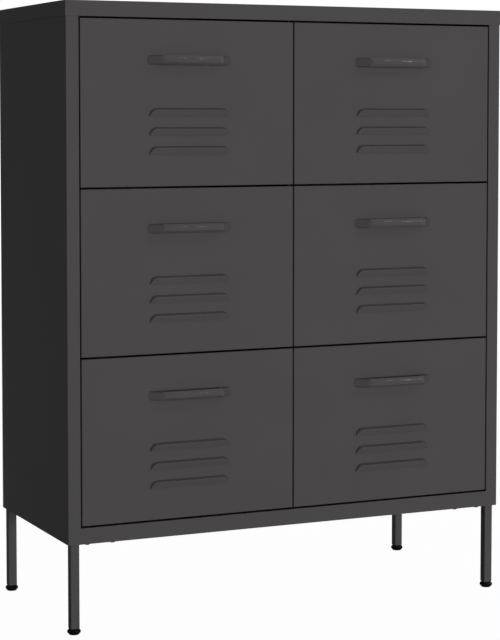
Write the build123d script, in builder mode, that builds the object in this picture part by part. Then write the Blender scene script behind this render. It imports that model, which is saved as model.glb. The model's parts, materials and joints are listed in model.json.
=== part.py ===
"""Freestanding sheet-steel cabinet: six drawers in two columns, on four square-tube legs.

+Z is up, -Y is the front and +X is on the right of someone who faces the front. The origin is on
the floor, under the middle of the whole object, handles included. All sizes are in millimetres.
"""

import os
from math import cos, radians, tan

from build123d import *

os.makedirs("parts", exist_ok=True)

# Driving dimensions of the cabinet
WIDTH = 800
DEPTH = 350  # front to rear of the top cover
HEIGHT = 1015  # floor to the top of the cover
SHEET = 0.8  # thickness of every folded sheet
BEND = 1.2  # outer radius of a fold
COVER_RIM = 25
COVER_OVERHANG = 1.25  # how far the cover stands out past the body
BODY_DEPTH = 345.5  # the side panels, front to rear
UNDERSIDE = 147  # floor to the lower edge of the body
RAIL_HEIGHT = 26.1
STILE_WIDTH = 21.65
LIP = 45  # return of a side panel behind its stile
RETURN = 15  # depth of the rails' folded returns
FLOOR_FLANGE = 16  # flanges turned up at the floor's sides
DIVIDER_FLANGE = 16  # half the width of the divider's flanges
BACK_HALF_WIDTH = 392
SIDE_GAP = 2
CENTRE_GAP = 2
ROW_GAP = 3
ROWS = ("lower", "middle", "upper")
COLUMNS = {"left": -1, "right": 1}

# Driving dimensions of a drawer
FRONT_DEPTH = 16  # the folded pan of a drawer front
FRONT_LIP = 22  # return around the back of that pan
BOX_RISE = 18  # the box's floor over the lower edge of its front
BOX_HEIGHT = 200
BOX_DEPTH = 304
HEM = 8
FLANGE = 12
SLIDE_RISE = 110  # the slides' centre line over the lower edge of the front
SLIDE_LENGTH = 300
SLIDE_SETBACK = 19  # from the front plane to the slides' front ends
SLIDE_THICKNESS = 10  # cabinet wall to drawer wall

# Sections of the slides, measured from the wall and from their centre line
SLIDE_SHEET = 1.2
OUTER_TIP = 8.6
OUTER_HALF = 13.5
INNER_TIP = 3
INNER_HALF = 8.5
CAGE_WEB = 1.5
CAGE_TIP = 8
CAGE_HALF = 10.8
CAGE_LENGTH = 70
BALL = 3.2
BALL_PLAY = 0.05
BALL_OUT = 5.4
BALL_HALF = 10.4
BALL_PITCH = 16
BALLS = 4  # in each of a cage's two rows

# Handle and louvres
HANDLE_LENGTH = 147
HANDLE_HEIGHT = 15
HANDLE_OUT = 22  # how far it stands out of the front
HANDLE_BOW = 1.5  # how much its bends lie behind its middle
HANDLE_THICKNESS = 8
HANDLE_SLOPE = 24  # run of each sloping end
HANDLE_HOLES = 128
HANDLE_BEND = 18  # outer radius in plan
HANDLE_ROUND = 3  # radius along the outer edges of its sloping ends
HANDLE_CORNER = 6  # corners of its outline, seen from the front
BEVEL_RISE = 4.5  # the bevels above and below its flat face
BEVEL_DEPTH = 4.5
BEVEL_ROUND = 4.5
HANDLE_SCREW_DEPTH = 4
GAP_INSET = 3  # from the end of the flat bar to the finger gap
GAP_FLARE = 4  # how much the gap widens towards the front
GAP_ROUND = 6
HANDLE_DROP = 64.75  # its centre line under the top edge of the front
LOUVRE_LENGTH = 140
LOUVRE_HEIGHT = 13
LOUVRE_OUT = 6
LOUVRE_CORNER = 12
LOUVRE_TAPER = 24  # degrees
LOUVRE_ROUND = 1.2
LOUVRE_RIDGE = 4.5  # from its shoulder down to the ridge that stands out furthest
LOUVRE_LIP = 2.2  # how far its lower edge still stands out
LOUVRE_DROP = 142  # first louvre under the top edge of the front
LOUVRE_PITCH = 30.7
LOUVRE_COUNT = 3

# Legs and feet
TUBE = 15
TUBE_WALL = 1.2
TUBE_CORNER = 1.5
TUBE_INSET_SIDE = 5.4
TUBE_INSET_FRONT = 4.9
TUBE_INSET_REAR = 0.3
PLATE = 2
PLATE_SPAN = 90
PLATE_REACH = 58  # from the tube's centre towards the middle of the cabinet
PLATE_MARGIN = 10.7  # from the front tube's centre towards the front
PLATE_CORNER = 3
FOOT_HEIGHT = 10
FOOT_RADIUS = 11
FOOT_NECK = 7.8
FOOT_BAND = (3.8, 6.2)  # heights of its straight band
FOOT_ROUND = 0.8
SPIGOT_HEIGHT = 12
SPIGOT_PLAY = 0.1
LEG_BOLTS_X = (320, 363)
LEG_BOLTS_Y = (-1, 44)  # from the tube's centre towards the middle of the cabinet

# Fasteners
M6_SHANK = 5.9
M6_HOLE = 6.4
M6_BORE = 6.0
M6_HEAD = 10.5
M6_HEAD_HEIGHT = 3.3
M6_HEAD_ROUND = 3
M6_SOCKET = 4  # across the flats of its hexagon
M6_SOCKET_DEPTH = 2
M6_LENGTH = 11
M6_NUT = 10  # across its flats
M6_NUT_HEIGHT = 5
M4_SHANK = 3.9
M4_HOLE = 4.2
M4_BORE = 4.0
M4_HEAD = 8
M4_HEAD_HEIGHT = 1.6
M4_HEAD_ROUND = 0.8
M4_LENGTH = 8
RECESS_LENGTH = 4  # cross recess
RECESS_WIDTH = 0.9
EDGE_SCREW_X = 386
EDGE_SCREW_HEIGHTS = (190, 450, 710, 970)
DIVIDER_SCREW_X = 10
DIVIDER_SCREW_HEIGHTS = (320, 580, 840)
FLOOR_SCREW_X = 190
FLOOR_SCREW_RISE = 12  # over the body's lower edge
FRONT_SCREW_RISES = (40, 160)  # over the box's floor
ANCHOR_HOLE = 6.5
ANCHOR_SPACING = 640
ANCHOR_DROP = 55  # wall-fixing holes under the top of the cover

# Places worked out from the driving dimensions
BODY_HALF = WIDTH / 2 - COVER_OVERHANG
STILE_EDGE = BODY_HALF - STILE_WIDTH
FRONT_Y = (HANDLE_OUT + COVER_OVERHANG - DEPTH) / 2
REAR_Y = FRONT_Y + BODY_DEPTH
UNDER_COVER = HEIGHT - SHEET
RAIL_TOP = UNDERSIDE + RAIL_HEIGHT
FLOOR = UNDERSIDE + PLATE
FRONT_INNER = CENTRE_GAP / 2
FRONT_OUTER = STILE_EDGE - SIDE_GAP
FRONT_WIDTH = FRONT_OUTER - FRONT_INNER
FRONT_X = (FRONT_INNER + FRONT_OUTER) / 2
FRONT_BOTTOM = RAIL_TOP + ROW_GAP
PITCH = (HEIGHT - COVER_RIM - FRONT_BOTTOM) / len(ROWS)
FRONT_HEIGHT = PITCH - ROW_GAP
FRONT_TOP = FRONT_BOTTOM + FRONT_HEIGHT
BOX_INNER = SHEET + SLIDE_THICKNESS
BOX_OUTER = STILE_EDGE - SLIDE_THICKNESS
BOX_FRONT = FRONT_Y + FRONT_DEPTH
BOX_BOTTOM = FRONT_BOTTOM + BOX_RISE
BOX_TOP = BOX_BOTTOM + BOX_HEIGHT
TUBE_X = BODY_HALF - TUBE_INSET_SIDE - TUBE / 2
TUBE_FRONT_Y = FRONT_Y + TUBE_INSET_FRONT + TUBE / 2
TUBE_REAR_Y = REAR_Y - TUBE_INSET_REAR - TUBE / 2


def facing(y):
    """A plane across the cabinet at y, seen from the front: its x is +X and its y is +Z."""
    return Plane.XZ.offset(-y)


def slab(corner, opposite, mode=Mode.ADD):
    """Adds a box between two opposite corners to the part being built, or cuts it away."""
    low = [min(a, b) for a, b in zip(corner, opposite)]
    size = [abs(a - b) for a, b in zip(corner, opposite)]
    with Locations(tuple(low)):
        Box(*size, align=(Align.MIN, Align.MIN, Align.MIN), mode=mode)


def write(part, name):
    """Labels a finished part and writes it as its own file."""
    part.label = name
    export_step(part, f"parts/{name}.step")


def mirrored(part):
    """The same part on the other side of the cabinet's middle."""
    return mirror(part, about=Plane.YZ)


# ---- Carcass ------------------------------------------------------------------------------------

# A tray turned upside down: the flat top with its folded rim
with BuildPart() as top_cover:
    with BuildSketch(Plane.XY.offset(HEIGHT - COVER_RIM)):
        with Locations((0, FRONT_Y - COVER_OVERHANG + DEPTH / 2)):
            RectangleRounded(WIDTH, DEPTH, BEND)
    extrude(amount=COVER_RIM)
    fillet(top_cover.faces().sort_by(Axis.Z)[-1].edges(), radius=BEND)
    offset(amount=-SHEET, openings=top_cover.faces().sort_by(Axis.Z)[0])
write(top_cover.part, "top_cover")

# Screws of the back panel: down both edges, up the divider and along the bottom
EDGE_SCREWS = [(x, z) for x in (-EDGE_SCREW_X, EDGE_SCREW_X) for z in EDGE_SCREW_HEIGHTS]
DIVIDER_SCREWS = [(DIVIDER_SCREW_X, z) for z in DIVIDER_SCREW_HEIGHTS]
FLOOR_SCREWS = [(x, UNDERSIDE + FLOOR_SCREW_RISE) for x in (-FLOOR_SCREW_X, FLOOR_SCREW_X)]
REAR_SCREWS = EDGE_SCREWS + DIVIDER_SCREWS + FLOOR_SCREWS
ANCHORS = [(x, HEIGHT - ANCHOR_DROP) for x in (-ANCHOR_SPACING / 2, ANCHOR_SPACING / 2)]


def cut_round(places, diameter, y):
    """Cuts round holes through the sheet at y, from front to rear."""
    with BuildSketch(facing(y)) as holes:
        with Locations(*places):
            Circle(diameter / 2)
    extrude(holes.sketch, amount=2 * SHEET, both=True, mode=Mode.SUBTRACT)


# A C-section: the outer wall, a stile at the front, a flange at the rear and a lip behind each
with BuildPart() as right_side_panel:
    with BuildSketch(Plane.XY.offset(UNDERSIDE)):
        with BuildLine():
            FilletPolyline(
                (STILE_EDGE, FRONT_Y + LIP),
                (STILE_EDGE, FRONT_Y),
                (BODY_HALF, FRONT_Y),
                (BODY_HALF, REAR_Y),
                (STILE_EDGE, REAR_Y),
                (STILE_EDGE, REAR_Y - LIP),
                radius=BEND,
            )
            offset(amount=SHEET, side=Side.LEFT)
        make_face()
    extrude(amount=UNDER_COVER - UNDERSIDE)
    # the lips stop over the cabinet's floor, and the front one stops over the bottom rail
    slab(
        (STILE_EDGE - 1, FRONT_Y + SHEET, UNDERSIDE),
        (BODY_HALF - SHEET, REAR_Y + 1, FLOOR + SHEET),
        Mode.SUBTRACT,
    )
    slab(
        (STILE_EDGE - 1, FRONT_Y - 1, UNDERSIDE),
        (STILE_EDGE + BEND, FRONT_Y + LIP + 1, RAIL_TOP),
        Mode.SUBTRACT,
    )
    cut_round(EDGE_SCREWS, M4_BORE, REAR_Y)
write(right_side_panel.part, "right_side_panel")
write(mirrored(right_side_panel.part), "left_side_panel")

# A flat sheet with two holes for fixing the cabinet to a wall
with BuildPart() as back_panel:
    slab((-BACK_HALF_WIDTH, REAR_Y, UNDERSIDE + 1), (BACK_HALF_WIDTH, REAR_Y + SHEET, UNDER_COVER))
    cut_round(REAR_SCREWS, M4_HOLE, REAR_Y)
    cut_round(ANCHORS, ANCHOR_HOLE, REAR_Y)
write(back_panel.part, "back_panel")

# The legs' bolts, as places in plan
LEG_TUBES = [(TUBE_FRONT_Y, 1), (TUBE_REAR_Y, -1)]  # centre, and the way to the cabinet's middle
BOLT_PLACES = [
    (side * x, y + inward * reach)
    for side in (-1, 1)
    for x in LEG_BOLTS_X
    for y, inward in LEG_TUBES
    for reach in LEG_BOLTS_Y
]


def cut_bolt_holes(places, z):
    """Cuts the leg bolts' holes through the sheet that starts at z."""
    with BuildSketch(Plane.XY.offset(z)) as holes:
        with Locations(*places):
            Circle(M6_HOLE / 2)
    extrude(holes.sketch, amount=PLATE, mode=Mode.SUBTRACT)


# The floor, with flanges turned up at the sides and rear and the bottom rail at the front
with BuildPart() as bottom_panel:
    floor_edge = BODY_HALF - SHEET
    rail_end = STILE_EDGE + BEND
    slab((-floor_edge, FRONT_Y + SHEET, FLOOR), (floor_edge, REAR_Y, FLOOR + SHEET))
    for side in (-1, 1):
        slab(
            (side * floor_edge, FRONT_Y + BEND + SHEET, FLOOR),
            (side * (floor_edge - SHEET), REAR_Y - BEND - SHEET, FLOOR + FLOOR_FLANGE),
        )
    slab((-STILE_EDGE, REAR_Y - SHEET, FLOOR), (STILE_EDGE, REAR_Y, FLOOR + FLOOR_FLANGE))
    # the rail: its face, the hem under the floor, the top return and that return's lip
    slab((-rail_end, FRONT_Y, UNDERSIDE), (rail_end, FRONT_Y + SHEET, RAIL_TOP))
    slab((-rail_end, FRONT_Y, UNDERSIDE), (rail_end, FRONT_Y + 2 * SHEET, FLOOR + SHEET))
    slab((-rail_end, FRONT_Y, RAIL_TOP - SHEET), (rail_end, FRONT_Y + RETURN, RAIL_TOP))
    slab(
        (-STILE_EDGE, FRONT_Y + RETURN - SHEET, RAIL_TOP - HEM),
        (STILE_EDGE, FRONT_Y + RETURN, RAIL_TOP),
    )
    rail_edges = bottom_panel.edges().filter_by(Axis.X).group_by(Axis.Y)[0]
    fillet(rail_edges.sort_by(Axis.Z)[-1], radius=BEND / 2)
    cut_bolt_holes(BOLT_PLACES, FLOOR)
    cut_round(FLOOR_SCREWS, M4_BORE, REAR_Y)
write(bottom_panel.part, "bottom_panel")

# Two skins back to back between the columns, with flanges for the floor, the cover and the back
with BuildPart() as centre_divider:
    web_front = FRONT_Y + FRONT_DEPTH + 2
    slab((-SHEET, web_front, FLOOR + SHEET), (SHEET, REAR_Y - SHEET, UNDER_COVER))
    for z in (FLOOR + SHEET, UNDER_COVER - SHEET):
        slab((-DIVIDER_FLANGE, web_front, z), (DIVIDER_FLANGE, REAR_Y - SHEET, z + SHEET))
    slab(
        (-DIVIDER_FLANGE, REAR_Y - SHEET, FLOOR + FLOOR_FLANGE + 1),
        (DIVIDER_FLANGE, REAR_Y, UNDER_COVER),
    )
    cut_round(DIVIDER_SCREWS, M4_BORE, REAR_Y)
write(centre_divider.part, "centre_divider")

# A channel that ties the stiles together behind the cover's rim
with BuildPart() as top_rail:
    low = HEIGHT - COVER_RIM + SHEET
    slab((-STILE_EDGE, FRONT_Y, low), (STILE_EDGE, FRONT_Y + SHEET, UNDER_COVER))
    for z in (low, UNDER_COVER - SHEET):
        slab((-STILE_EDGE, FRONT_Y, z), (STILE_EDGE, FRONT_Y + RETURN, z + SHEET))
write(top_rail.part, "top_rail")

# ---- Legs and feet ------------------------------------------------------------------------------


def leg(y, inward, margin):
    """A right-hand leg: a square tube, welded under the corner of a bolted plate."""
    with BuildPart() as post:
        with BuildSketch(Plane.XY.offset(FOOT_HEIGHT)):
            with Locations((TUBE_X, y)):
                RectangleRounded(TUBE, TUBE, TUBE_CORNER)
                hollow = TUBE - 2 * TUBE_WALL
                RectangleRounded(hollow, hollow, TUBE_CORNER / 2, mode=Mode.SUBTRACT)
        extrude(amount=UNDERSIDE - FOOT_HEIGHT)
        plate_edge = BODY_HALF - 2 * SHEET
        near, far = y - inward * margin, y + inward * PLATE_REACH
        with BuildSketch(Plane.XY.offset(UNDERSIDE)):
            with Locations((plate_edge - PLATE_SPAN / 2, (near + far) / 2)):
                RectangleRounded(PLATE_SPAN, abs(far - near), PLATE_CORNER)
        extrude(amount=PLATE)
        holes = [(x, y + inward * reach) for x in LEG_BOLTS_X for reach in LEG_BOLTS_Y]
        cut_bolt_holes(holes, UNDERSIDE)
    return post.part


def foot(y):
    """A right-hand foot: a bevelled round glide with a square spigot up the tube."""
    with BuildPart() as glide:
        with BuildSketch(facing(y)):
            with Locations((TUBE_X, 0)):
                Polygon(
                    (0, 0),
                    (FOOT_NECK, 0),
                    *[(FOOT_RADIUS, height) for height in FOOT_BAND],
                    (FOOT_NECK, FOOT_HEIGHT),
                    (0, FOOT_HEIGHT),
                    align=None,
                )
        revolve(axis=Axis((TUBE_X, y, 0), (0, 0, 1)))
        fillet(glide.edges().filter_by(GeomType.CIRCLE).group_by(Axis.Z)[1:3], radius=FOOT_ROUND)
        spigot = TUBE - 2 * TUBE_WALL - 2 * SPIGOT_PLAY
        with BuildSketch(Plane.XY.offset(FOOT_HEIGHT)):
            with Locations((TUBE_X, y)):
                RectangleRounded(spigot, spigot, TUBE_CORNER / 2)
        extrude(amount=SPIGOT_HEIGHT)
    return glide.part


for place, y, inward, margin in (
    ("front", TUBE_FRONT_Y, 1, PLATE_MARGIN),
    ("rear", TUBE_REAR_Y, -1, TUBE / 2),
):
    right_leg, right_foot = leg(y, inward, margin), foot(y)
    write(right_leg, f"{place}_right_leg")
    write(mirrored(right_leg), f"{place}_left_leg")
    write(right_foot, f"{place}_right_foot")
    write(mirrored(right_foot), f"{place}_left_foot")

# Button-head bolts with a hexagon socket, put in from below
with BuildPart() as leg_bolts:
    for diameter, amount in ((M6_SHANK, M6_LENGTH), (M6_HEAD, -M6_HEAD_HEIGHT)):
        with BuildSketch(Plane.XY.offset(UNDERSIDE)) as section:
            with Locations(*BOLT_PLACES):
                Circle(diameter / 2)
        extrude(section.sketch, amount=amount)
    fillet(leg_bolts.faces().group_by(Axis.Z)[0].edges(), radius=M6_HEAD_ROUND)
    with BuildSketch(Plane.XY.offset(UNDERSIDE - M6_HEAD_HEIGHT)) as socket:
        with Locations(*BOLT_PLACES):
            RegularPolygon(M6_SOCKET / 2, 6, major_radius=False)
    extrude(socket.sketch, amount=M6_SOCKET_DEPTH, mode=Mode.SUBTRACT)
write(leg_bolts.part, "leg_bolts")

with BuildPart() as leg_nuts:
    with BuildSketch(Plane.XY.offset(FLOOR + SHEET)):
        with Locations(*BOLT_PLACES):
            RegularPolygon(M6_NUT / 2, 6, major_radius=False)
            Circle(M6_BORE / 2, mode=Mode.SUBTRACT)
    extrude(amount=M6_NUT_HEIGHT)
write(leg_nuts.part, "leg_nuts")


def pan_screws(places, y, length):
    """Small pan-head screws put in from behind: their heads sit on the plane y."""
    with BuildPart() as screws:
        for diameter, amount in ((M4_SHANK, length), (M4_HEAD, -M4_HEAD_HEIGHT)):
            with BuildSketch(facing(y)) as section:
                with Locations(*places):
                    Circle(diameter / 2)
            extrude(section.sketch, amount=amount)
        fillet(screws.faces().group_by(Axis.Y)[-1].edges(), radius=M4_HEAD_ROUND)
        with BuildSketch(facing(y + M4_HEAD_HEIGHT)) as cross:
            with Locations(*places):
                Rectangle(RECESS_LENGTH, RECESS_WIDTH)
                Rectangle(RECESS_WIDTH, RECESS_LENGTH)
        extrude(cross.sketch, amount=RECESS_WIDTH, mode=Mode.SUBTRACT)
    return screws.part


write(pan_screws(REAR_SCREWS, REAR_Y + SHEET, M4_LENGTH), "rear_screws")

# ---- One drawer, built in the lower right place -------------------------------------------------

SCREW_INSET = FLANGE / 2 + 1
FRONT_SCREWS = [
    (x, BOX_BOTTOM + rise)
    for x in (BOX_INNER + SCREW_INSET, BOX_OUTER - SCREW_INSET)
    for rise in FRONT_SCREW_RISES
]
HANDLE_Z = FRONT_TOP - HANDLE_DROP
HANDLE_SCREWS = [(FRONT_X + x, HANDLE_Z) for x in (-HANDLE_HOLES / 2, HANDLE_HOLES / 2)]
SLIDE_Z = FRONT_BOTTOM + SLIDE_RISE
SLIDE_Y = FRONT_Y + SLIDE_SETBACK


def louvre_form(inset, base_y, radius):
    """A louvre's raised form, its shoulder at z = 0, from the plane y = base_y outwards."""
    with BuildPart() as form:
        with BuildSketch(facing(base_y)) as outline:
            with Locations((FRONT_X, -LOUVRE_HEIGHT)):
                Rectangle(LOUVRE_LENGTH - 2 * inset, 2 * (LOUVRE_HEIGHT - inset))
            fillet(outline.vertices(), radius=LOUVRE_CORNER - inset)
        extrude(amount=LOUVRE_OUT, taper=LOUVRE_TAPER)
        fillet(form.faces().sort_by(Axis.Y)[0].edges(), radius=radius)
        # below the ridge it slopes back to the lower edge
        with BuildSketch(Plane.YZ):
            with Locations((base_y, 0)):
                Polygon(
                    (0, 0),
                    (-LOUVRE_OUT, 0),
                    (-LOUVRE_OUT, -LOUVRE_RIDGE),
                    (-LOUVRE_LIP, -LOUVRE_HEIGHT),
                    (0, -LOUVRE_HEIGHT),
                    align=None,
                )
        extrude(amount=WIDTH, mode=Mode.INTERSECT)
    return form.part


# The hood of a louvre is open along its lower edge, so its hollow goes through the sheet
taper = radians(LOUVRE_TAPER)
hollow_inset = SHEET * (1 / cos(taper) - tan(taper))
louvre_outside = louvre_form(0, FRONT_Y, LOUVRE_ROUND)
louvre_hollow = louvre_form(hollow_inset, FRONT_Y + SHEET, LOUVRE_ROUND - SHEET)
louvre_places = [
    (0, 0, FRONT_TOP - LOUVRE_DROP - LOUVRE_PITCH * number) for number in range(LOUVRE_COUNT)
]

# A folded pan with a lip round its back
with BuildPart() as front:
    with BuildSketch(facing(FRONT_Y)):
        with Locations((FRONT_X, (FRONT_BOTTOM + FRONT_TOP) / 2)):
            RectangleRounded(FRONT_WIDTH, FRONT_HEIGHT, BEND)
    extrude(amount=-FRONT_DEPTH)
    fillet(front.faces().sort_by(Axis.Y)[0].edges(), radius=BEND)
    offset(amount=-SHEET, openings=front.faces().sort_by(Axis.Y)[-1])
    with BuildSketch(facing(BOX_FRONT)):
        with Locations((FRONT_X, (FRONT_BOTTOM + FRONT_TOP) / 2)):
            Rectangle(FRONT_WIDTH - SHEET, FRONT_HEIGHT - SHEET)
            Rectangle(
                FRONT_WIDTH - 2 * FRONT_LIP, FRONT_HEIGHT - 2 * FRONT_LIP, mode=Mode.SUBTRACT
            )
    extrude(amount=SHEET)
    with Locations(*louvre_places):
        add(louvre_outside)
        add(louvre_hollow, mode=Mode.SUBTRACT)
    cut_round(HANDLE_SCREWS, M4_HOLE, FRONT_Y)
    cut_round(FRONT_SCREWS, M4_BORE, BOX_FRONT)

# Floor, two sides and back, with hems along the top and flanges for the front
with BuildPart() as box:
    box_rear = BOX_FRONT + BOX_DEPTH
    slab((BOX_INNER, BOX_FRONT, BOX_BOTTOM), (BOX_OUTER, box_rear, BOX_TOP))
    top_face, front_face = box.faces().sort_by(Axis.Z)[-1], box.faces().sort_by(Axis.Y)[0]
    offset(amount=-SHEET, openings=[top_face, front_face])
    hem_rear = box_rear - SHEET
    slab((BOX_INNER, hem_rear - SHEET, BOX_TOP - HEM), (BOX_OUTER, hem_rear, BOX_TOP))
    for outer, inward in ((BOX_INNER, 1), (BOX_OUTER, -1)):
        slab((outer, BOX_FRONT, BOX_TOP - HEM), (outer + inward * 2 * SHEET, hem_rear, BOX_TOP))
        slab((outer, BOX_FRONT, BOX_BOTTOM), (outer + inward * FLANGE, BOX_FRONT + SHEET, BOX_TOP))
    cut_round(FRONT_SCREWS, M4_HOLE, BOX_FRONT)

# A cast bow: a slightly curved, bevelled bar between two sloping ends, with blind screw holes
with BuildPart() as handle:
    base = HANDLE_LENGTH / 2
    bar = base - HANDLE_SLOPE
    bend_y = FRONT_Y - HANDLE_OUT + HANDLE_BOW
    with BuildSketch(Plane.XY.offset(HANDLE_Z - HANDLE_HEIGHT / 2)):
        with BuildLine():
            bow = ThreePointArc(
                (FRONT_X - bar, bend_y), (FRONT_X, FRONT_Y - HANDLE_OUT), (FRONT_X + bar, bend_y)
            )
            Polyline(bow @ 0, (FRONT_X - base, FRONT_Y), (FRONT_X + base, FRONT_Y), bow @ 1)
        make_face()
    extrude(amount=HANDLE_HEIGHT)
    bends = handle.edges().filter_by(Axis.Z).group_by(Axis.Y)[0]
    fillet(bends, radius=HANDLE_BEND)
    rims = handle.faces().filter_by(Axis.Z)
    outer_rims = [edge for face in rims for edge in face.edges() if edge.center().Y < FRONT_Y - 0.1]
    fillet(outer_rims, radius=HANDLE_ROUND)
    high = HANDLE_HEIGHT / 2
    face = high - BEVEL_RISE
    shoulder = HANDLE_OUT - BEVEL_DEPTH
    bow_radius = (bar**2 + HANDLE_BOW**2) / (2 * HANDLE_BOW)
    bow_axis = Axis((FRONT_X, FRONT_Y - HANDLE_OUT + bow_radius, 0), (0, 0, 1))
    with BuildSketch(Plane.YZ.offset(FRONT_X)) as section:
        with Locations((FRONT_Y, HANDLE_Z)):
            Polygon(
                (0, -high),
                (0, high),
                (-shoulder, high),
                (-HANDLE_OUT, face),
                (-HANDLE_OUT, -face),
                (-shoulder, -high),
                align=None,
            )
        fillet(section.vertices().group_by(Axis.X)[0], radius=BEVEL_ROUND)
    revolve(axis=bow_axis, mode=Mode.INTERSECT)
    with BuildSketch(facing(FRONT_Y)):
        with Locations((FRONT_X, HANDLE_Z)):
            RectangleRounded(HANDLE_LENGTH, HANDLE_HEIGHT, HANDLE_CORNER)
    extrude(amount=HANDLE_OUT, mode=Mode.INTERSECT)
    gap = bar - GAP_INSET
    gap_base = gap + GAP_FLARE
    gap_depth = HANDLE_OUT - HANDLE_THICKNESS
    with BuildSketch(Plane.XY.offset(HANDLE_Z - HANDLE_HEIGHT)) as finger_gap:
        with Locations((FRONT_X, FRONT_Y)):
            Polygon((-gap_base, 1), (-gap, -gap_depth), (gap, -gap_depth), (gap_base, 1), align=None)
        fillet(finger_gap.vertices().group_by(Axis.Y)[0], radius=GAP_ROUND)
    extrude(amount=2 * HANDLE_HEIGHT, mode=Mode.SUBTRACT)
    with BuildSketch(facing(FRONT_Y)):
        with Locations(*HANDLE_SCREWS):
            Circle(M4_BORE / 2)
    extrude(amount=HANDLE_SCREW_DEPTH + 1, mode=Mode.SUBTRACT)

handle_screws = pan_screws(HANDLE_SCREWS, FRONT_Y + SHEET, SHEET + HANDLE_SCREW_DEPTH)
front_screws = pan_screws(FRONT_SCREWS, BOX_FRONT + SHEET, M4_LENGTH)
screws = Part() + [*handle_screws.solids(), *front_screws.solids()]

# ---- Its ball-bearing slides --------------------------------------------------------------------

# Each wall beside the drawer, and the way from it to the drawer
WALLS = ((SHEET, 1), (STILE_EDGE, -1))


def channel(wall, web, tip, half_height, thickness, start, length):
    """A C-section along the drawer's travel; its web and flange tips are measured from the wall."""
    surface, towards = wall
    inward = thickness if tip > web else -thickness
    x_web, x_back, x_tip = (surface + towards * out for out in (web, web + inward, tip))
    end = start + length
    slab((x_web, start, SLIDE_Z - half_height), (x_back, end, SLIDE_Z + half_height))
    for side in (-1, 1):
        outside = SLIDE_Z + side * half_height
        slab((x_web, start, outside), (x_tip, end, outside - side * thickness))


with BuildPart() as cabinet_slides:
    for wall in WALLS:
        channel(wall, 0, OUTER_TIP, OUTER_HALF, SLIDE_SHEET, SLIDE_Y, SLIDE_LENGTH)

with BuildPart() as drawer_slides:
    for wall in WALLS:
        channel(wall, SLIDE_THICKNESS, INNER_TIP, INNER_HALF, SLIDE_SHEET, SLIDE_Y, SLIDE_LENGTH)

# A cage goes half as far as its drawer, so from mid-length it stays between the two slides
cage_y = SLIDE_Y + (SLIDE_LENGTH - CAGE_LENGTH) / 2
first_ball_y = cage_y + (CAGE_LENGTH - BALL_PITCH * (BALLS - 1)) / 2
ball_places = [
    (surface + towards * BALL_OUT, first_ball_y + BALL_PITCH * number, SLIDE_Z + side * BALL_HALF)
    for surface, towards in WALLS
    for number in range(BALLS)
    for side in (-1, 1)
]
with BuildPart() as ball_cages:
    for wall in WALLS:
        channel(wall, CAGE_WEB, CAGE_TIP, CAGE_HALF, SHEET, cage_y, CAGE_LENGTH)
    with Locations(*ball_places):
        Cylinder(BALL / 2 + BALL_PLAY, BALL, mode=Mode.SUBTRACT)
        Sphere(BALL / 2)

# ---- The six drawers ----------------------------------------------------------------------------

drawer_parts = {
    "front": front.part,
    "box": box.part,
    "handle": handle.part,
    "screws": screws,
    "drawer_slides": drawer_slides.part,
    "cabinet_slides": cabinet_slides.part,
    "ball_cages": ball_cages.part,
}
for level, row in enumerate(ROWS):
    for column, side in COLUMNS.items():
        for piece, part in drawer_parts.items():
            part_here = part if side > 0 else mirrored(part)
            write(Pos(0, 0, level * PITCH) * part_here, f"{row}_{column}_{piece}")
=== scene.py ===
import json
import math

import bpy
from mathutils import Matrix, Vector

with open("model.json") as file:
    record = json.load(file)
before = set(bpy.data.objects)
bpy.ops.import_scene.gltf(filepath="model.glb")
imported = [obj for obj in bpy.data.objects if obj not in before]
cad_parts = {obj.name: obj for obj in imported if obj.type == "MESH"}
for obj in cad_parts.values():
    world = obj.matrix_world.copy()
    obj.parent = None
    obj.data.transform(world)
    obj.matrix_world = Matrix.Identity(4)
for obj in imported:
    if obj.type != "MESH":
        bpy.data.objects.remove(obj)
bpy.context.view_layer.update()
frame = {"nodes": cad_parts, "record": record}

nodes = frame["nodes"]
scene = bpy.context.scene

# ---- Camera -------------------------------------------------------------------------------------

CAMERA_PLACE = (-1.4293, -3.1002, 0.8314)  # at the front left, as high as the upper drawers
CAMERA_YAW = 24.678  # degrees, from straight at the fronts towards +X
CAMERA_PITCH = 3.32  # degrees below the horizon
CAMERA_SENSOR = 36  # its width in mm, as is the lens
CAMERA_LENS = 110.417
CAMERA_SHIFT = -0.14  # keeps the uprights nearly parallel


def add_camera():
    data = bpy.data.cameras.new("camera")
    data.lens = CAMERA_LENS
    data.sensor_width = CAMERA_SENSOR
    data.shift_y = CAMERA_SHIFT
    camera = bpy.data.objects.new("camera", data)
    camera.location = CAMERA_PLACE
    camera.rotation_euler = (math.radians(90 - CAMERA_PITCH), 0, math.radians(-CAMERA_YAW))
    scene.collection.objects.link(camera)
    scene.camera = camera


add_camera()

# ---- Node helpers -------------------------------------------------------------------------------

# The mix node has sockets of several kinds under the same names, so its colour sockets go by number
MIX_FIRST = 6
MIX_SECOND = 7
MIX_RESULT = 2


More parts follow.
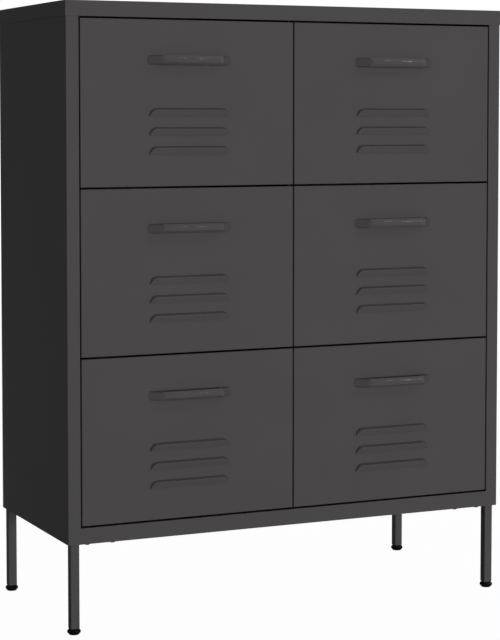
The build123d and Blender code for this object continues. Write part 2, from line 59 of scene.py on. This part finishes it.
class Shader:
    """A material's node tree, with short calls to add and link its nodes."""

    def __init__(self, tree):
        self.tree = tree
        tree.nodes.clear()

    def add(self, kind, inputs=None, **settings):
        """Adds a node; an input's value is a number, a colour or another node's output."""
        node = self.tree.nodes.new(kind)
        for name, value in settings.items():
            setattr(node, name, value)
        for name, value in (inputs or {}).items():
            if isinstance(value, bpy.types.NodeSocket):
                self.tree.links.new(value, node.inputs[name])
            else:
                node.inputs[name].default_value = value
        return node

    def noise(self, coordinates, scale, detail=2.0):
        inputs = {"Vector": coordinates, "Scale": scale, "Detail": detail}
        return self.add("ShaderNodeTexNoise", inputs).outputs["Fac"]

    def remap(self, value, low, high, start=0.3, end=0.7):
        """A value from start to end, stretched to run from low to high; most noise is in 0.3 to 0.7."""
        inputs = {"Value": value, "From Min": start, "From Max": end, "To Min": low, "To Max": high}
        return self.add("ShaderNodeMapRange", inputs).outputs["Result"]

    def mix(self, factor, first, second):
        node = self.add("ShaderNodeMix", data_type="RGBA")
        self.tree.links.new(factor, node.inputs["Factor"])
        node.inputs[MIX_FIRST].default_value = first
        node.inputs[MIX_SECOND].default_value = second
        return node.outputs[MIX_RESULT]

    def bump(self, height, distance, normal=None):
        """A bump whose full height is the distance, in metres."""
        inputs = {"Height": height, "Distance": distance, "Strength": 1.0}
        if normal is not None:
            inputs["Normal"] = normal
        return self.add("ShaderNodeBump", inputs).outputs["Normal"]


def grey(value, warmth=0.0):
    """A near-neutral colour from its linear value, with a little more red for warmth."""
    return (value * (1 + warmth), value, value, 1.0)


def new_material(name):
    material = bpy.data.materials.new(name)
    material.use_nodes = True
    shader = Shader(material.node_tree)
    output = shader.add("ShaderNodeOutputMaterial")
    place = shader.add("ShaderNodeTexCoord").outputs["Object"]
    return material, shader, output, place


# ---- Materials ----------------------------------------------------------------------------------

# Noise scales are in cycles per metre, and bump distances in metres
UNEVENNESS = 0.025  # how much the coat's tone strays either way


def powder_coat(name, value, roughness, specular):
    """Fine-textured powder coat: a sandy grain over a soft orange peel, slightly uneven in tone."""
    material, shader, output, place = new_material(name)
    tone = shader.remap(shader.noise(place, 7, 3), 0.0, 1.0)
    darker = grey(value * (1 - UNEVENNESS), 0.06)
    lighter = grey(value * (1 + UNEVENNESS), 0.05)
    colour = shader.mix(tone, darker, lighter)
    speckle = shader.remap(shader.noise(place, 900, 2), roughness - 0.05, roughness + 0.07)
    peel = shader.bump(shader.noise(place, 260, 2), 0.00004)
    grain = shader.bump(shader.noise(place, 1500, 3), 0.00003, peel)
    surface = shader.add(
        "ShaderNodeBsdfPrincipled",
        {
            "Base Color": colour,
            "Roughness": speckle,
            "Specular IOR Level": specular,
            "Normal": grain,
        },
    )
    shader.tree.links.new(surface.outputs["BSDF"], output.inputs["Surface"])
    return material


def zinc_plate(name):
    """Bright zinc on cold-rolled steel: faint streaks along the rolling and cloudy patches."""
    material, shader, output, place = new_material(name)
    along = shader.add("ShaderNodeMapping", {"Vector": place, "Scale": (1.0, 0.04, 1.0)})
    streaks = shader.noise(along.outputs["Vector"], 900, 3)
    clouds = shader.noise(place, 45, 3)
    colour = shader.mix(
        shader.remap(clouds, 0.0, 1.0), (0.52, 0.53, 0.55, 1.0), (0.62, 0.62, 0.61, 1.0)
    )
    surface = shader.add(
        "ShaderNodeBsdfPrincipled",
        {
            "Base Color": colour,
            "Metallic": 1.0,
            "Roughness": shader.remap(streaks, 0.28, 0.42),
            "Normal": shader.bump(streaks, 0.000015),
        },
    )
    shader.tree.links.new(surface.outputs["BSDF"], output.inputs["Surface"])
    return material


def black_oxide(name):
    """Blackened steel: a thin oxide with a low, slightly cloudy sheen."""
    material, shader, output, place = new_material(name)
    clouds = shader.remap(shader.noise(place, 160, 3), 0.0, 1.0)
    surface = shader.add(
        "ShaderNodeBsdfPrincipled",
        {
            "Base Color": shader.mix(clouds, grey(0.030), grey(0.048)),
            "Roughness": shader.remap(shader.noise(place, 600, 2), 0.36, 0.50),
            "Specular IOR Level": 0.4,
            "Normal": shader.bump(shader.noise(place, 2200, 2), 0.00002),
        },
    )
    shader.tree.links.new(surface.outputs["BSDF"], output.inputs["Surface"])
    return material


def black_plastic(name):
    """Moulded black plastic with a fine spark-eroded grain."""
    material, shader, output, place = new_material(name)
    wear = shader.remap(shader.noise(place, 120, 3), 0.0, 1.0)
    surface = shader.add(
        "ShaderNodeBsdfPrincipled",
        {
            "Base Color": shader.mix(wear, grey(0.003), grey(0.005)),
            "Roughness": shader.remap(shader.noise(place, 700, 2), 0.42, 0.55),
            "Specular IOR Level": 0.12,
            "Normal": shader.bump(shader.noise(place, 1800, 2), 0.00003),
        },
    )
    shader.tree.links.new(surface.outputs["BSDF"], output.inputs["Surface"])
    return material


FINISHES = {
    "powder_coat": powder_coat("powder_coat", value=0.064, roughness=0.60, specular=0.10),
    "handle_coat": powder_coat("handle_coat", value=0.058, roughness=0.20, specular=0.50),
    "black_plastic": black_plastic("black_plastic"),
    "zinc_steel": zinc_plate("zinc_steel"),
    "black_steel": black_oxide("black_steel"),
}

for part in frame["record"]["subparts"]:
    mesh = nodes[part["node"]].data
    mesh.materials.clear()
    mesh.materials.append(FINISHES[part["material_slot"]])

# ---- Floor, world and lamps ---------------------------------------------------------------------

FLOOR_SIZE = 30
FLOOR_GREY = 0.5  # what the floor reflects onto the object
FLOOR_SHOW = 0.98  # share of plain white in the floor's colour near the object, for the camera
FLOOR_NEAR = 0.6  # distances from the origin, between which that share rises to 1
FLOOR_FAR = 2.2
AMBIENT = 0.19  # the world's even light
GLOSS = 0.5  # the world's level in reflections towards the right
GLOSS_SIDE = (0.8, 0.2, 0.55)  # direction in which the gloss rises to that level
GLOSS_START = 0.3  # dot products with that direction, between which it rises
GLOSS_END = 0.8
AIM = (0, 0, 0.55)  # middle of the body


def add_floor():
    bpy.ops.mesh.primitive_plane_add(size=FLOOR_SIZE, location=(0, 0, 0))
    floor = bpy.context.object
    floor.name = "floor"
    material, shader, output, place = new_material("floor")
    ray = shader.add("ShaderNodeLightPath").outputs["Is Camera Ray"]
    white = shader.add("ShaderNodeEmission", {"Color": (1, 1, 1, 1), "Strength": 1.0})
    matte = shader.add("ShaderNodeBsdfDiffuse", {"Color": grey(FLOOR_GREY)})
    distance = shader.add("ShaderNodeVectorMath", {0: place}, operation="LENGTH").outputs["Value"]
    fade = shader.remap(distance, FLOOR_SHOW, 1.0, FLOOR_NEAR, FLOOR_FAR)
    share = shader.add("ShaderNodeMath", {0: ray, 1: fade}, operation="MULTIPLY").outputs["Value"]
    surface = shader.add("ShaderNodeMixShader", {"Fac": share})
    shader.tree.links.new(matte.outputs["BSDF"], surface.inputs[1])
    shader.tree.links.new(white.outputs["Emission"], surface.inputs[2])
    shader.tree.links.new(surface.outputs["Shader"], output.inputs["Surface"])
    floor.data.materials.append(material)
    floor.visible_shadow = False  # the bounce lamp shines up through it


def add_world():
    """White behind the object, and an even, weaker light that is brighter in gloss to the right."""
    world = bpy.data.worlds.new("studio")
    scene.world = world
    world.use_nodes = True
    shader = Shader(world.node_tree)
    output = shader.add("ShaderNodeOutputWorld")
    path = shader.add("ShaderNodeLightPath").outputs
    direction = shader.add("ShaderNodeTexCoord").outputs["Generated"]
    rightwards = shader.add(
        "ShaderNodeVectorMath", {0: direction, 1: GLOSS_SIDE}, operation="DOT_PRODUCT"
    ).outputs["Value"]
    gloss = shader.remap(rightwards, AMBIENT, GLOSS, GLOSS_START, GLOSS_END)
    level = shader.remap(path["Is Glossy Ray"], AMBIENT, gloss, 0.0, 1.0)
    light = shader.add("ShaderNodeBackground", {"Color": (1, 1, 1, 1), "Strength": level})
    white = shader.add("ShaderNodeBackground", {"Color": (1, 1, 1, 1), "Strength": 1.0})
    seen = shader.add(
        "ShaderNodeMath",
        {0: path["Is Camera Ray"], 1: path["Is Transmission Ray"]},
        operation="MAXIMUM",
    ).outputs["Value"]
    surface = shader.add("ShaderNodeMixShader", {"Fac": seen})
    shader.tree.links.new(light.outputs["Background"], surface.inputs[1])
    shader.tree.links.new(white.outputs["Background"], surface.inputs[2])
    shader.tree.links.new(surface.outputs["Shader"], output.inputs["Surface"])


def point_at(lamp, direction):
    lamp.rotation_euler = Vector(direction).to_track_quat("-Z", "Y").to_euler()


def add_sun(name, direction, strength, angle):
    """A lamp far away, wide and soft, that leaves no glare of its own."""
    data = bpy.data.lights.new(name, "SUN")
    data.energy = strength
    data.angle = math.radians(angle)
    lamp = bpy.data.objects.new(name, data)
    lamp.visible_glossy = False
    point_at(lamp, direction)
    scene.collection.objects.link(lamp)


def add_lamp(name, place, size, power):
    """A square lamp aimed at the body, which shows in gloss."""
    data = bpy.data.lights.new(name, "AREA")
    data.size = size
    data.energy = power
    lamp = bpy.data.objects.new(name, data)
    lamp.location = place
    point_at(lamp, Vector(AIM) - Vector(place))
    scene.collection.objects.link(lamp)


add_floor()
add_world()
add_sun("key", (-0.11, 1.0, -0.02), strength=2.29, angle=12)
add_sun("bounce", (-0.05, 0.6, 0.8), strength=0.3, angle=60)
add_sun("rear", (-0.5, -0.7, -0.55), strength=2.0, angle=30)
add_lamp("glint", (4.0, -3.2, 3.8), size=0.6, power=28)

scene.view_settings.view_transform = "Standard"
